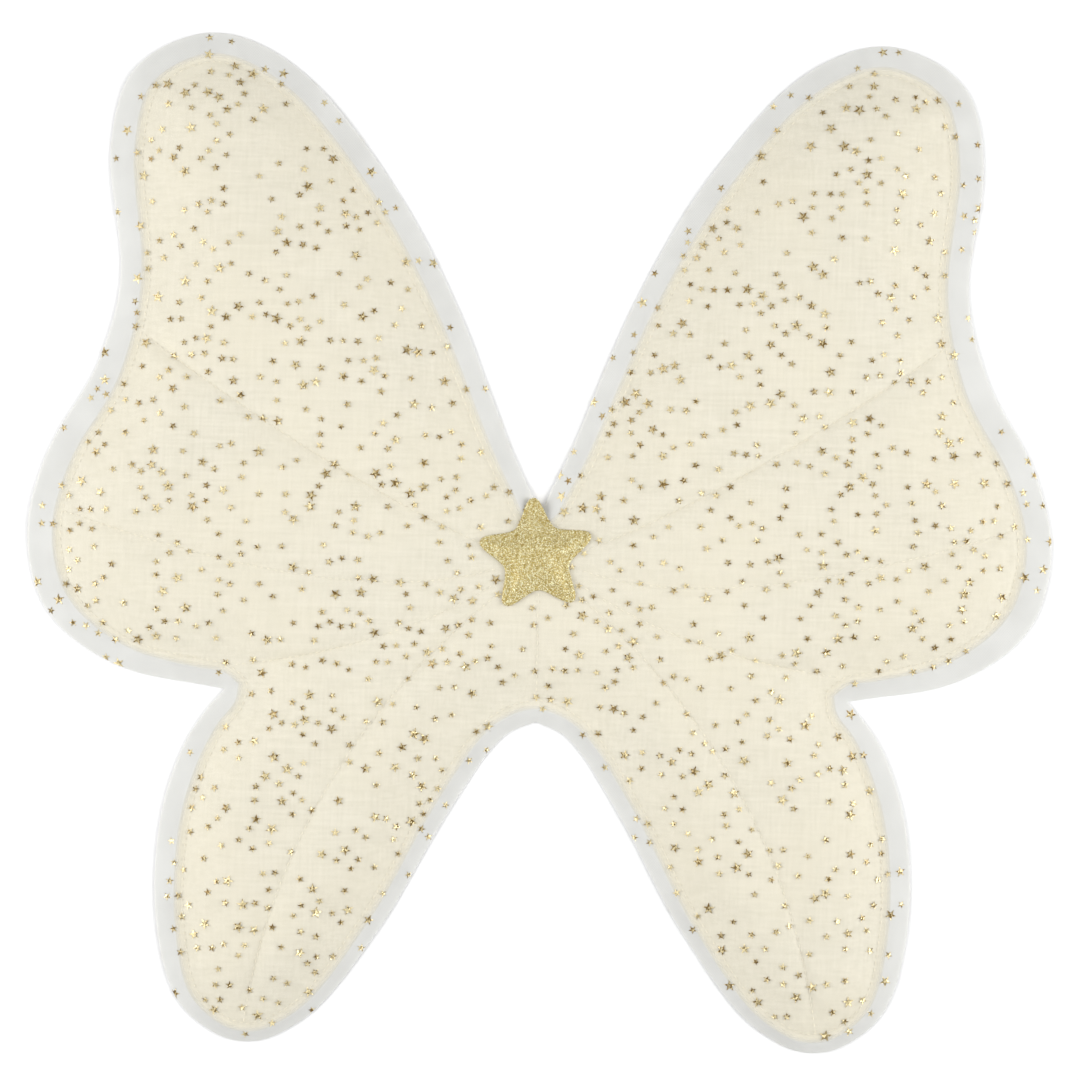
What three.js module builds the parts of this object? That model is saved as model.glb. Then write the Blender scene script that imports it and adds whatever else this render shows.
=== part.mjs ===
// Quilted costume wings for a child, lying on their back with the front up.
// A padded cotton butterfly is sewn between two sheets of sheer tulle that run past it as a
// border. Seams that fan out from the middle quilt the pad, a padded glitter star covers the
// place where they meet, and two flat elastics for the shoulders lie behind.
// Millimetres, +Z up, +Y towards the upper tips. The origin is on the surface that the wings
// lie on, under the middle of their outline.

import * as THREE from 'three';
import { ConvexHull } from 'three/addons/math/ConvexHull.js';

// Thickness of the layers
const TULLE = 1;
const GAP = 0.3;
const RIM_THICK = 2;
const SEAM_THICK = 2.5;
const CROWN_THICK = 12;

// Quilting: how far the pad needs to swell to its full height, and the grooves in its back
const PUFF_REACH = 45;
const RIM_REACH = 35;
const GROOVE_LIFT = 2.5;
const GROOVE_HALF_WIDTH = 14;

// The rim's stitch line runs inside the pad's edge
const RIM_STITCH_INSET = 4.5;

// Edge of the right wing, from the neck round the upper wing to the notch, and from the notch
// round the lower wing to the arch. The border is the bare tulle outside the pad.
const UPPER_EDGE = [
  { at: 'neck', x: 0, y: 15, border: 7 },
  { at: 'inner edge, low', x: 12.5, y: 40, border: 8 },
  { at: 'inner edge, middle', x: 45.5, y: 120, border: 9.5 },
  { at: 'inner edge, high', x: 80, y: 180, border: 10 },
  { at: 'tip, inner side', x: 126, y: 231, border: 10 },
  { at: 'tip', x: 165, y: 245, border: 10 },
  { at: 'tip, outer side', x: 202, y: 227, border: 11 },
  { at: 'outer edge, high', x: 213, y: 190, border: 11.5 },
  { at: 'waist', x: 207, y: 123, border: 10 },
  { at: 'flare', x: 218.5, y: 80, border: 12 },
  { at: 'side, high', x: 240.5, y: 40, border: 12 },
  { at: 'side', x: 250, y: 0, border: 12 },
  { at: 'side, low', x: 240, y: -38, border: 12 },
  { at: 'underside', x: 206, y: -64, border: 10 },
  { at: 'notch', x: 152, y: -75, border: 7 },
];
const LOWER_EDGE = [
  { at: 'notch', x: 152, y: -75, border: 7 },
  { at: 'outer edge, high', x: 168, y: -96, border: 9 },
  { at: 'outer edge, middle', x: 181.5, y: -135, border: 9.5 },
  { at: 'outer edge, low', x: 183, y: -190, border: 9 },
  { at: 'tip, outer side', x: 170, y: -230, border: 6.5 },
  { at: 'tip', x: 140, y: -247, border: 5 },
  { at: 'tip, inner side', x: 110, y: -235, border: 5 },
  { at: 'inner edge, low', x: 74, y: -190, border: 6 },
  { at: 'inner edge, high', x: 40, y: -130, border: 7 },
  { at: 'arch, side', x: 15.5, y: -95.5, border: 7 },
  { at: 'arch', x: 0, y: -88, border: 6 },
];

// Quilting seams of the right wing: each runs from its root by the star through a middle
// point to the pad's edge.
const SEAMS = [
  { name: 'upper', rootX: 20, rootY: -4, midX: 102, midY: 37, edgeX: 196, edgeY: 99 },
  { name: 'side', rootX: 22, rootY: -13, midX: 110, midY: -18, edgeX: 234, edgeY: 12 },
  { name: 'notch', rootX: 18, rootY: -20, midX: 75, midY: -48, edgeX: 146, edgeY: -64 },
  { name: 'lower', rootX: 14, rootY: -24, midX: 98, midY: -120, edgeX: 139, edgeY: -238 },
];
const MIDDLE_SEAM = { topY: -26, bottomY: -82 };

// Glitter star: its corners are rounded off by a share of each side, its rings are shares of its
// outline at heights from its underside. Also the flat seat that its stitching presses into the pad
const STAR_X = -1.3;
const STAR_Y = -7.1;
const STAR_POINTS = 5;
const STAR_TIP_RADIUS = 31;
const STAR_VALLEY_RADIUS = 14.8;
const STAR_TIP_CORNER = 0.28;
const STAR_VALLEY_CORNER = 0.2;
const STAR_CORNER_STEPS = 4;
const STAR_TURN = THREE.MathUtils.degToRad(4.4);
const STAR_THICK = 6;
const STAR_RINGS = [
  { share: 0.94, z: 0 },
  { share: 1, z: 1.4 },
  { share: 0.98, z: 3.2 },
  { share: 0.88, z: 4.8 },
  { share: 0.6, z: 5.7 },
];
const SEAT_TOP = 7;
const SEAT_RADIUS = 32;
const SEAT_FADE = 22;

// Shoulder elastics
const STRAP_WIDTH = 20;
const STRAP_LENGTH = 140;
const STRAP_THICK = 1.5;
const STRAP_CORNER = 3;
const STRAP_X = 42;
const STRAP_Y = 4;
const STRAP_LEAN = THREE.MathUtils.degToRad(8);
const STRAP_CLEAR = 26;
const STRAP_FADE = 24;

// Spacing of the points that carry the cloth
const EDGE_STEP = 15;
const SEAM_STEP = 18;
const SEAM_ROW_OFFSET = 10;
const FILL_STEP = 26;
const SEAM_CLEARANCE = 8;
const FILL_CLEARANCE = 15;
const RIM_CLEARANCE = 10;

const COLOURS = { cotton: 0xefe7d2, tulle: 0xe6e6e2, glitter: 0xd4c68e, elastic: 0xf2efe6 };

// Heights of the layers above the surface, built up from the thicknesses
const PAD_FLOOR = TULLE + GAP;
const RIM_TOP = PAD_FLOOR + RIM_THICK;
const SEAM_TOP = PAD_FLOOR + GROOVE_LIFT + SEAM_THICK;
const CROWN_TOP = PAD_FLOOR + CROWN_THICK;
const STAR_FLOOR = SEAT_TOP + GAP + TULLE + GAP;
const STRAP_LIFT = STRAP_THICK + GAP;

const mirrored = (point) => new THREE.Vector2(-point.x, point.y);
const roundedRise = (share) => Math.sqrt(1 - (1 - Math.min(share, 1)) ** 2);
const fade = THREE.MathUtils.smoothstep;

// Smooth stretch of the edge through table rows; its z holds the border's width
function edgeCurve(rows) {
  const knots = rows.map(({ x, y, border }) => new THREE.Vector3(x, y, border));
  return new THREE.CatmullRomCurve3(knots, false, 'centripetal');
}

const flipped = (rows) => rows.map((row) => ({ ...row, x: -row.x })).reverse();

// Stations along the whole edge, clockwise from the neck: the edge point, the direction into
// the wing and the border's width. A corner between two stretches gets one more station that
// points along the middle of the corner.
function edgeStations() {
  const lowerRound = [...LOWER_EDGE, ...flipped(LOWER_EDGE).slice(1)];
  const stretches = [UPPER_EDGE, lowerRound, flipped(UPPER_EDGE)].map(edgeCurve);
  const stations = [];
  for (const curve of stretches) {
    const count = 2 * Math.round(curve.getLength() / (2 * EDGE_STEP));
    for (let i = 0; i <= count; i++) {
      const { x, y, z } = curve.getPointAt(i / count);
      const along = curve.getTangentAt(i / count);
      const inward = new THREE.Vector2(along.y, -along.x).normalize();
      stations.push({ edge: new THREE.Vector2(x, y), inward, border: z, last: i === count });
    }
  }
  return stations.flatMap((station, i) => {
    if (!station.last) return [station];
    const next = stations[(i + 1) % stations.length];
    const inward = station.inward.clone().add(next.inward).normalize();
    return [station, { ...station, inward }];
  });
}

const insetBy = ({ edge, inward }, distance) => edge.clone().addScaledVector(inward, distance);

// A seam as a parabola through its middle point
function seamCurve({ rootX, rootY, midX, midY, edgeX, edgeY }) {
  const root = new THREE.Vector2(rootX, rootY);
  const end = new THREE.Vector2(edgeX, edgeY);
  const bend = new THREE.Vector2(2 * midX - (rootX + edgeX) / 2, 2 * midY - (rootY + edgeY) / 2);
  return new THREE.QuadraticBezierCurve(root, bend, end);
}

function seamLines() {
  const pointsOn = (curve) => curve.getSpacedPoints(Math.round(curve.getLength() / SEAM_STEP));
  const right = SEAMS.map((row) => pointsOn(seamCurve(row)));
  const left = right.map((line) => line.map(mirrored));
  const middle = new THREE.LineCurve(
    new THREE.Vector2(0, MIDDLE_SEAM.topY),
    new THREE.Vector2(0, MIDDLE_SEAM.bottomY),
  );
  return [...right, ...left, pointsOn(middle)];
}

function distanceToSegment(point, a, b) {
  const along = b.clone().sub(a);
  const share = point.clone().sub(a).dot(along) / along.lengthSq();
  return point.distanceTo(a.clone().addScaledVector(along, THREE.MathUtils.clamp(share, 0, 1)));
}

function distanceToLine(point, line) {
  let nearest = Infinity;
  for (let i = 1; i < line.length; i++) {
    nearest = Math.min(nearest, distanceToSegment(point, line[i - 1], line[i]));
  }
  return nearest;
}

function isInside(point, ring) {
  let inside = false;
  ring.forEach((a, i) => {
    const b = ring[(i + 1) % ring.length];
    const straddles = (a.y > point.y) !== (b.y > point.y);
    const crossingX = a.x + ((point.y - a.y) / (b.y - a.y)) * (b.x - a.x);
    if (straddles && point.x < crossingX) inside = !inside;
  });
  return inside;
}

const stations = edgeStations();
const padRing = stations.map((station) => insetBy(station, station.border));
const rimRing = stations.map((station) => insetBy(station, station.border + RIM_STITCH_INSET));
const rimLoop = [...rimRing, rimRing[0]];
const seams = seamLines();
const starCentre = new THREE.Vector2(STAR_X, STAR_Y);

const rimDistance = (point) => (isInside(point, rimRing) ? distanceToLine(point, rimLoop) : 0);
const seamDistance = (point) => Math.min(...seams.map((line) => distanceToLine(point, line)));

// Points that carry the cloth inside the rim: seams, a row on each side of them, then a
// triangular grid in what is left. Each keeps clear of those placed before it.
function innerPoints() {
  const placed = [];
  const place = (point, clearance) => {
    const clear = placed.every((other) => other.distanceTo(point) >= clearance);
    if (clear && rimDistance(point) >= RIM_CLEARANCE) placed.push(point);
  };
  seams.flat().forEach((point) => place(point, SEAM_CLEARANCE));
  for (const line of seams) {
    for (let i = 1; i < line.length; i++) {
      const across = line[i].clone().sub(line[i - 1]).normalize();
      across.set(-across.y, across.x);
      for (const side of [-1, 1]) {
        place(line[i].clone().addScaledVector(across, side * SEAM_ROW_OFFSET), SEAM_CLEARANCE);
      }
    }
  }
  const box = new THREE.Box2().setFromPoints(rimRing);
  const rowStep = FILL_STEP * Math.sqrt(3) / 2;
  for (let row = 0; box.min.y + row * rowStep < box.max.y; row++) {
    const start = -Math.ceil(box.max.x / FILL_STEP) * FILL_STEP + (row % 2) * FILL_STEP / 2;
    for (let x = start; x < box.max.x; x += FILL_STEP) {
      place(new THREE.Vector2(x, box.min.y + row * rowStep), FILL_CLEARANCE);
    }
  }
  return placed;
}

// Delaunay triangles of flat points: the underside of the hull of the points raised onto a bowl
function delaunay(points) {
  const bowl = points.map((p) => new THREE.Vector3(p.x, p.y, p.lengthSq() / FILL_STEP));
  const indexOf = new Map(bowl.map((point, i) => [point, i]));
  const hull = new ConvexHull().setFromPoints(bowl);
  const triangles = [];
  for (const face of hull.faces) {
    if (face.normal.z >= 0) continue;
    const { edge } = face;
    const corners = [edge, edge.next, edge.next.next].map((e) => indexOf.get(e.head().point));
    triangles.push(corners.reverse());
  }
  return triangles;
}

// One flat plan for every layer: numbered points, and triangles for the border, the rim and
// the quilted inside, all counter-clockwise
function clothPlan() {
  const points = [];
  const numbers = new Map();
  const numberOf = (point) => {
    const key = `${point.x.toFixed(4)},${point.y.toFixed(4)}`;
    if (!numbers.has(key)) numbers.set(key, points.push(point) - 1);
    return numbers.get(key);
  };
  const strip = (outer, inner) => outer.flatMap((a, i) => {
    const j = (i + 1) % outer.length;
    const quad = [[a, inner[i], outer[j]], [outer[j], inner[i], inner[j]]];
    return quad.filter((corners) => new Set(corners).size === 3);
  });
  const edge = stations.map((station) => numberOf(station.edge));
  const pad = padRing.map(numberOf);
  const rim = rimRing.map(numberOf);
  const inside = [...rimRing, ...innerPoints()];
  const insideNumbers = inside.map(numberOf);
  const quilted = delaunay(inside).filter((corners) => {
    const middle = new THREE.Vector2();
    corners.forEach((corner) => middle.addScaledVector(inside[corner], 1 / corners.length));
    return isInside(middle, rimRing);
  });
  return {
    points,
    edge: new Set(edge),
    border: strip(edge, pad),
    padded: [
      ...strip(pad, rim),
      ...quilted.map((corners) => corners.map((corner) => insideNumbers[corner])),
    ],
  };
}

function solidFrom(positions, indices) {
  const geometry = new THREE.BufferGeometry();
  geometry.setAttribute('position', new THREE.Float32BufferAttribute(positions, 3));
  geometry.setIndex(indices);
  geometry.computeVertexNormals();
  return geometry;
}

// Closed solid between two heights over a set of plan triangles
function clothSolid({ points }, triangles, lowAt, highAt) {
  const positions = [];
  const indices = [];
  const low = new Map();
  const high = new Map();
  const corner = (store, heightAt, number) => {
    if (!store.has(number)) {
      const { x, y } = points[number];
      store.set(number, positions.push(x, y, heightAt(number)) / 3 - 1);
    }
    return store.get(number);
  };
  const lowCorner = (number) => corner(low, lowAt, number);
  const highCorner = (number) => corner(high, highAt, number);
  const sides = new Set(triangles.flatMap(([a, b, c]) => [`${a},${b}`, `${b},${c}`, `${c},${a}`]));
  for (const [a, b, c] of triangles) {
    indices.push(highCorner(a), highCorner(b), highCorner(c));
    indices.push(lowCorner(a), lowCorner(c), lowCorner(b));
    for (const [from, to] of [[a, b], [b, c], [c, a]]) {
      if (sides.has(`${to},${from}`)) continue;
      indices.push(lowCorner(from), lowCorner(to), highCorner(to));
      indices.push(lowCorner(from), highCorner(to), highCorner(from));
    }
  }
  return solidFrom(positions, indices);
}

// Distance outside the straight strap on the point's own side
function strapDistance(point) {
  const local = new THREE.Vector2(Math.abs(point.x) - STRAP_X, point.y - STRAP_Y);
  local.rotateAround(new THREE.Vector2(), STRAP_LEAN);
  const overX = Math.max(Math.abs(local.x) - STRAP_WIDTH / 2, 0);
  const overY = Math.max(Math.abs(local.y) - STRAP_LENGTH / 2, 0);
  return Math.hypot(overX, overY);
}

// Underside of the back: flat on the surface, lifted over the straps and along the seams
function backHeight(point) {
  const overStrap = 1 - fade(strapDistance(point), STRAP_CLEAR, STRAP_CLEAR + STRAP_FADE);
  const alongSeam = 1 - fade(seamDistance(point), 0, GROOVE_HALF_WIDTH);
  const offRim = fade(rimDistance(point), 0, RIM_REACH);
  return Math.max(STRAP_LIFT * overStrap, GROOVE_LIFT * alongSeam * offRim);
}

// Top of the pad: low at the rim and along the seams, crowned between them, flat under the star
function padHeight(point) {
  const puff = roundedRise(seamDistance(point) / PUFF_REACH);
  const quilted = THREE.MathUtils.lerp(SEAM_TOP, CROWN_TOP, puff);
  const offSeat = fade(point.distanceTo(starCentre), SEAT_RADIUS, SEAT_RADIUS + SEAT_FADE);
  const inside = THREE.MathUtils.lerp(SEAT_TOP, quilted, offSeat);
  return THREE.MathUtils.lerp(RIM_TOP, inside, roundedRise(rimDistance(point) / RIM_REACH));
}

const plan = clothPlan();
const backHeights = plan.points.map(backHeight);
const padHeights = plan.points.map(padHeight);
const wholePlan = [...plan.border, ...plan.padded];

const backLow = (number) => backHeights[number];
const backHigh = (number) => backLow(number) + TULLE;
const padLow = (number) => backHigh(number) + GAP;
const padHigh = (number) => padHeights[number];
const frontLow = (number) => (plan.edge.has(number) ? padLow(number) : padHigh(number) + GAP);
const frontHigh = (number) => frontLow(number) + TULLE;

// Star with rounded corners
function starShape() {
  const count = 2 * STAR_POINTS;
  const corners = Array.from({ length: count }, (_, i) => {
    const radius = i % 2 ? STAR_VALLEY_RADIUS : STAR_TIP_RADIUS;
    const angle = STAR_TURN + Math.PI / 2 + i * Math.PI / STAR_POINTS;
    return new THREE.Vector2(radius * Math.cos(angle), radius * Math.sin(angle));
  });
  const shape = new THREE.Shape();
  corners.forEach((corner, i) => {
    const share = i % 2 ? STAR_VALLEY_CORNER : STAR_TIP_CORNER;
    const before = corner.clone().lerp(corners[(i + count - 1) % count], share);
    const after = corner.clone().lerp(corners[(i + 1) % count], share);
    if (i === 0) shape.moveTo(before.x, before.y);
    else shape.lineTo(before.x, before.y);
    shape.quadraticCurveTo(corner.x, corner.y, after.x, after.y);
  });
  shape.closePath();
  return shape;
}

// Stuffed star: rings of the star's outline, closed to its middle below and above
function starSolid() {
  const outline = starShape().getPoints(STAR_CORNER_STEPS).slice(0, -1);
  const count = outline.length;
  const positions = [];
  for (const { share, z } of STAR_RINGS) {
    outline.forEach((point) => positions.push(point.x * share, point.y * share, z));
  }
  const bottom = count * STAR_RINGS.length;
  const top = bottom + 1;
  const lastRing = bottom - count;
  positions.push(0, 0, 0, 0, 0, STAR_THICK);
  const indices = [];
  for (let i = 0; i < count; i++) {
    const j = (i + 1) % count;
    indices.push(bottom, j, i, top, lastRing + i, lastRing + j);
    for (let ring = 0; ring < lastRing; ring += count) {
      const [a, b] = [ring + i, ring + j];
      indices.push(a, b, b + count, a, b + count, a + count);
    }
  }
  return solidFrom(positions, indices);
}

// Flat elastic with its corners rounded
function strapSolid() {
  const x = STRAP_WIDTH / 2;
  const y = STRAP_LENGTH / 2;
  const shape = new THREE.Shape();
  shape.moveTo(x, y - STRAP_CORNER);
  shape.quadraticCurveTo(x, y, x - STRAP_CORNER, y);
  shape.lineTo(-x + STRAP_CORNER, y);
  shape.quadraticCurveTo(-x, y, -x, y - STRAP_CORNER);
  shape.lineTo(-x, -y + STRAP_CORNER);
  shape.quadraticCurveTo(-x, -y, -x + STRAP_CORNER, -y);
  shape.lineTo(x - STRAP_CORNER, -y);
  shape.quadraticCurveTo(x, -y, x, -y + STRAP_CORNER);
  shape.closePath();
  return new THREE.ExtrudeGeometry(shape, {
    depth: STRAP_THICK,
    bevelEnabled: false,
    curveSegments: 3,
  });
}

const cotton = new THREE.MeshStandardMaterial({ color: COLOURS.cotton, roughness: 0.9 });
const tulle = new THREE.MeshStandardMaterial({
  color: COLOURS.tulle,
  roughness: 0.8,
  transparent: true,
  opacity: 0.4,
  side: THREE.DoubleSide,
});
const glitter = new THREE.MeshStandardMaterial({
  color: COLOURS.glitter,
  roughness: 0.45,
  metalness: 0.6,
});
const elastic = new THREE.MeshStandardMaterial({ color: COLOURS.elastic, roughness: 0.85 });

const wings = new THREE.Group();

function addPiece(name, geometry, material) {
  const mesh = new THREE.Mesh(geometry, material.clone());
  mesh.name = name;
  wings.add(mesh);
  return mesh;
}

addPiece('tulle_back', clothSolid(plan, wholePlan, backLow, backHigh), tulle);
addPiece('quilted_pad', clothSolid(plan, plan.padded, padLow, padHigh), cotton);
addPiece('tulle_front', clothSolid(plan, wholePlan, frontLow, frontHigh), tulle);
addPiece('glitter_star', starSolid(), glitter).position.set(STAR_X, STAR_Y, STAR_FLOOR);
for (const [name, side] of [['shoulder_strap_right', 1], ['shoulder_strap_left', -1]]) {
  const strap = addPiece(name, strapSolid(), elastic);
  strap.position.set(side * STRAP_X, STRAP_Y, 0);
  strap.rotation.z = -side * STRAP_LEAN;
}

// The origin is under the middle of the outline
const outline = new THREE.Box2().setFromPoints(stations.map((station) => station.edge));
wings.position.y = -outline.getCenter(new THREE.Vector2()).y;

export default wings;
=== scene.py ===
"""Quilted costume wings: padded cotton between two sheets of star-printed tulle, with a glitter star."""

import math

import bpy
import numpy as np
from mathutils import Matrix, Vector, noise
from mathutils.bvhtree import BVHTree
from mathutils.geometry import delaunay_2d_cdt


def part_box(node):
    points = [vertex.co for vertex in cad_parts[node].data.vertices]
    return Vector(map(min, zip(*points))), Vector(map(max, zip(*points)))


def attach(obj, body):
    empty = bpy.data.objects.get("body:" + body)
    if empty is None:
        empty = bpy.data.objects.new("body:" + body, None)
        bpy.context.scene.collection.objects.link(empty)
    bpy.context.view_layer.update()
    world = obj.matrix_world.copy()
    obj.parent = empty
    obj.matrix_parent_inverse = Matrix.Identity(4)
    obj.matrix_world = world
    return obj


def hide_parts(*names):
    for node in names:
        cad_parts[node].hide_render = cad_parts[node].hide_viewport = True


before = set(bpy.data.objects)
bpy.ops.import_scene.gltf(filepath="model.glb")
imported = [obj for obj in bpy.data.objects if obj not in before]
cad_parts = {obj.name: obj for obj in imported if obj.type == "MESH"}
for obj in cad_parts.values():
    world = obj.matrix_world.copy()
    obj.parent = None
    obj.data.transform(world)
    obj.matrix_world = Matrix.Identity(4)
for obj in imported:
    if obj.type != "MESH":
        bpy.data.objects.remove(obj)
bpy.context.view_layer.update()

MM = 0.001
BODY = "root"

# Quilting seams of the right wing in mm: where each leaves the star, its middle, and its end at the rim
SEAMS = {
    "upper": ((20, -5), (102, 36), (196, 98)),
    "side": ((22, -14), (110, -19), (234, 11)),
    "notch": ((18, -19), (75, -47), (146, -63)),
    "lower": ((16, -23), (99.5, -119.5), (139.5, -238)),
}
MIDDLE_SEAM = ((0, -26), (0, -54), (0, -82))
NECK_Y = 15 * MM            # the seams are drawn with the notch between the upper wings at this height
NECK_DROP = 2.0 * MM        # the tulle's notch is cut this much deeper behind the star's tip
NECK_REACH = 12 * MM        # over this length of its sides

# The pad in section
PAD_FLOOR = 1.3 * MM
RIM_STITCH = 4.5 * MM       # the rim's row of stitches, in from the pad's edge
RIM_TOP = 3.3 * MM
PAD_TOP = 10.5 * MM
RIM_REACH = 35 * MM         # the pad climbs from the rim to its full height over this length
SEAM_DEPTH = 2.0 * MM
MIDDLE_DEPTH = 0.7 * MM     # depth of the short seam below the star
SEAM_REACH = 4.5 * MM       # a seam's groove fades by a factor e over this length
SEAM_END = 15 * MM          # and grows from nothing at the rim over this one
SEAT_TOP = 9.4 * MM         # height of the star's seat at its middle
SEAT_FALL = 6.0 * MM        # the seat falls this much towards the neck
SEAT_SLOPE = 24 * MM        # over this length
SEAT_REACH = 12 * MM        # round the star's seat the pad climbs back to its height over this length
EDGE_DROP = 0.55 * MM       # the rim rolls down this much at the pad's edge
EDGE_ROLL = 4.5 * MM        # over this width
RIM_LEAST = 0.9 * MM        # the pad is nowhere thinner than this, also over the elastics
PAD_EDGE_ROUND = 0.12 * MM

# The net of points that the surfaces are cut into
LOOP_STEP = 4.0 * MM
EDGE_ROW = 0.8 * MM         # a row of points this far in from the pad's edge
SEAM_STEP = 2.2 * MM
SEAM_ROWS = (1.6 * MM, 3.6 * MM, 6.4 * MM)
ROW_CLEAR = 1.3 * MM
FILL_STEP = 5.0 * MM
FILL_CLEAR = 2.8 * MM
CORNER_TURN = math.radians(40)
FACES_UP = 0.05             # least rise of the normal of a face that belongs to a node's front
ON_LINE = 0.1 * MM          # a point this near a line lies on it
BACK_ROUNDS = 12            # rounds of smoothing of the pad's back

# The wadding's push on the cotton, and the puckers that stitches draw: length, reach and height of each
SIM_FRAMES = 20
PRESSURE = 0.8
SLACK = 0.004
PUCKERS = ((6 * MM, 3.5 * MM, 0.3 * MM), (17 * MM, 9 * MM, 0.5 * MM))

# Tulle: how far it lies off the pad, the heights of its free edge, and the ripples of its border
TULLE_GAP = 0.45 * MM
EDGE_FRONT = 0.6 * MM
EDGE_BACK = 0.25 * MM
EDGE_LIFT = 0.8 * MM        # the free edge is drawn up this much under the star
RIPPLE = 0.3 * MM
RIPPLE_LENGTH = 30 * MM
VEIL_REACH = 2.5 * MM       # the veil fades away over this length in from the pad's edge

# The stars printed on it in foil
FOIL_SMALL = 4.2 * MM
FOIL_LARGE = 5.9 * MM
FOIL_LARGE_SHARE = 0.22
FOIL_CLOSEST = 5.3 * MM
FOIL_DENSITY = 1 / (76 * MM * MM)
FOIL_FILM = 0.06 * MM
FOIL_LEAN = 0.08            # how far a star's shine leans, as a slope
FOIL_WAIST = 0.19           # where a star's arms meet, as a share of its width

# Machine stitches
STITCH_PITCH = 3.3 * MM
STITCH_LENGTH = 2.1 * MM
STITCH_WIDTH = 0.28 * MM

# The stuffed star and its glitter
STAR_STEP = 1.0 * MM
STAR_CLEAR = 0.5 * MM
STAR_EDGE = 0.8 * MM
STAR_BLUNT = 3              # rounds of smoothing that blunt the star's tips
STAR_SWELL = 0.3 * MM       # the stuffing spreads the outline this much
STAR_HEM = 2.2 * MM         # width of the rolled edge
STAR_ROLL = 0.3 * MM        # how far that edge stands up
STAR_RISE = 2.2 * MM
STAR_ROUND = 7.0 * MM       # the stuffing climbs to its full rise over this length
STAR_EDGE_ROUND = 0.5 * MM
FLAKE_SIZE = 0.48 * MM      # coarser than real glitter, so that single flakes show
FLAKE_DENSITY = 6.2 / (MM * MM)
FLAKE_TILT = math.radians(30)

# Shoulder elastics
STRAP_WIDTH = 20 * MM
STRAP_RIBS = 9
STRAP_RIB = 0.3 * MM
STRAP_STEPS = 36
STRAP_EDGE_ROUND = 0.2 * MM


def ease(t):
    """0 to 1 with a level start and end."""
    t = np.clip(t, 0, 1)
    return t * t * (3 - 2 * t)


def round_rise(t):
    """0 to 1, steep at the start and level at the end."""
    return np.sin(math.pi / 2 * np.clip(t, 0, 1))


# Outlines and seams


def outline_loop(node):
    """A node's outline seen from above, in order: the edges that only one upward face has."""
    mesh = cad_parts[node].data
    edges = set()
    for face in mesh.polygons:
        if face.normal.z > FACES_UP:
            corners = [tuple(np.round(mesh.vertices[i].co.xy, 6)) for i in face.vertices]
            edges.update(zip(corners, corners[1:] + corners[:1]))
    ahead = {a: b for a, b in edges if (b, a) not in edges}
    loop = [min(ahead)]
    while ahead[loop[-1]] != loop[0]:
        loop.append(ahead[loop[-1]])
    return np.array(loop)


def smooth_loop(points, step):
    """A closed curve through the points in steps of about that length. Sharp corners stay sharp."""
    chord = np.roll(points, -1, 0) - points
    length = np.linalg.norm(chord, axis=1)[:, None]
    unit = chord / length
    before, length_before = np.roll(unit, 1, 0), np.roll(length, 1, 0)
    tangent = (before * length + unit * length_before) / (length + length_before)
    sharp = np.sum(before * unit, axis=1) < math.cos(CORNER_TURN)
    curve = []
    for i in range(len(points)):
        j = (i + 1) % len(points)
        leave = unit[i] if sharp[i] else tangent[i]
        arrive = unit[i] if sharp[j] else tangent[j]
        count = max(1, round(float(length[i, 0]) / step))
        for t in np.arange(count) / count:
            curve.append(
                points[i] * (1 + 2 * t) * (1 - t) ** 2
                + points[j] * t * t * (3 - 2 * t)
                + length[i] * (leave * t * (1 - t) ** 2 - arrive * t * t * (1 - t))
            )
    return np.array(curve)


def loop_normals(loop):
    """Unit normals of a loop that runs anticlockwise, pointing out of it."""
    along = np.roll(loop, -1, 0) - np.roll(loop, 1, 0)
    along /= np.linalg.norm(along, axis=1)[:, None]
    return np.stack([along[:, 1], -along[:, 0]], axis=1)


def blunted(loop, rounds):
    """The loop with the corners that point out of it rounded off."""
    for _ in range(rounds):
        pull = (np.roll(loop, 1, 0) + np.roll(loop, -1, 0)) / 2 - loop
        outward = np.sum(pull * loop_normals(loop), axis=1) < 0
        loop = loop + pull * outward[:, None] / 2
    return loop


def closed(loop):
    """A loop as a line that ends where it starts."""
    return np.concatenate([loop, loop[:1]])


def seam_line(places, shift, side):
    """Points along a seam: a parabola from its root through its middle to its end."""
    root, middle, end = (np.array([side * x, y]) * MM + [0, shift] for x, y in places)
    control = 2 * middle - (root + end) / 2
    length = np.linalg.norm(middle - root) + np.linalg.norm(end - middle)
    t = np.linspace(0, 1, round(length / SEAM_STEP) + 1)[:, None]
    return root * (1 - t) ** 2 + control * 2 * t * (1 - t) + end * t * t


def nearest_on(points, lines):
    """How far each point is from the nearest of the lines, and how far along them that place is."""
    gap, run, done = np.full(len(points), np.inf), np.zeros(len(points)), 0.0
    for line in lines:
        for a, b in zip(line, line[1:]):
            step = b - a
            t = np.clip((points - a) @ step / (step @ step), 0, 1)
            here = np.linalg.norm(points - a - t[:, None] * step, axis=1)
            nearer = here < gap
            gap[nearer] = here[nearer]
            run[nearer] = done + t[nearer] * np.linalg.norm(step)
            done += np.linalg.norm(step)
    return gap, run


def inside(points, loop):
    """Whether each point lies inside the loop."""
    crossings = np.zeros(len(points), int)
    for a, b in zip(loop, np.roll(loop, -1, 0)):
        spans = (a[1] > points[:, 1]) != (b[1] > points[:, 1])
        rise = b[1] - a[1] if b[1] != a[1] else 1.0
        crossings += spans & (points[:, 0] < a[0] + (points[:, 1] - a[1]) * (b[0] - a[0]) / rise)
    return crossings % 2 == 1


def beside(line, gap):
    """The rows of points on both sides of a line."""
    along = np.gradient(line, axis=0)
    along /= np.linalg.norm(along, axis=1)[:, None]
    across = np.stack([-along[:, 1], along[:, 0]], axis=1)
    return np.concatenate([line + across * gap, line - across * gap])


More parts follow.
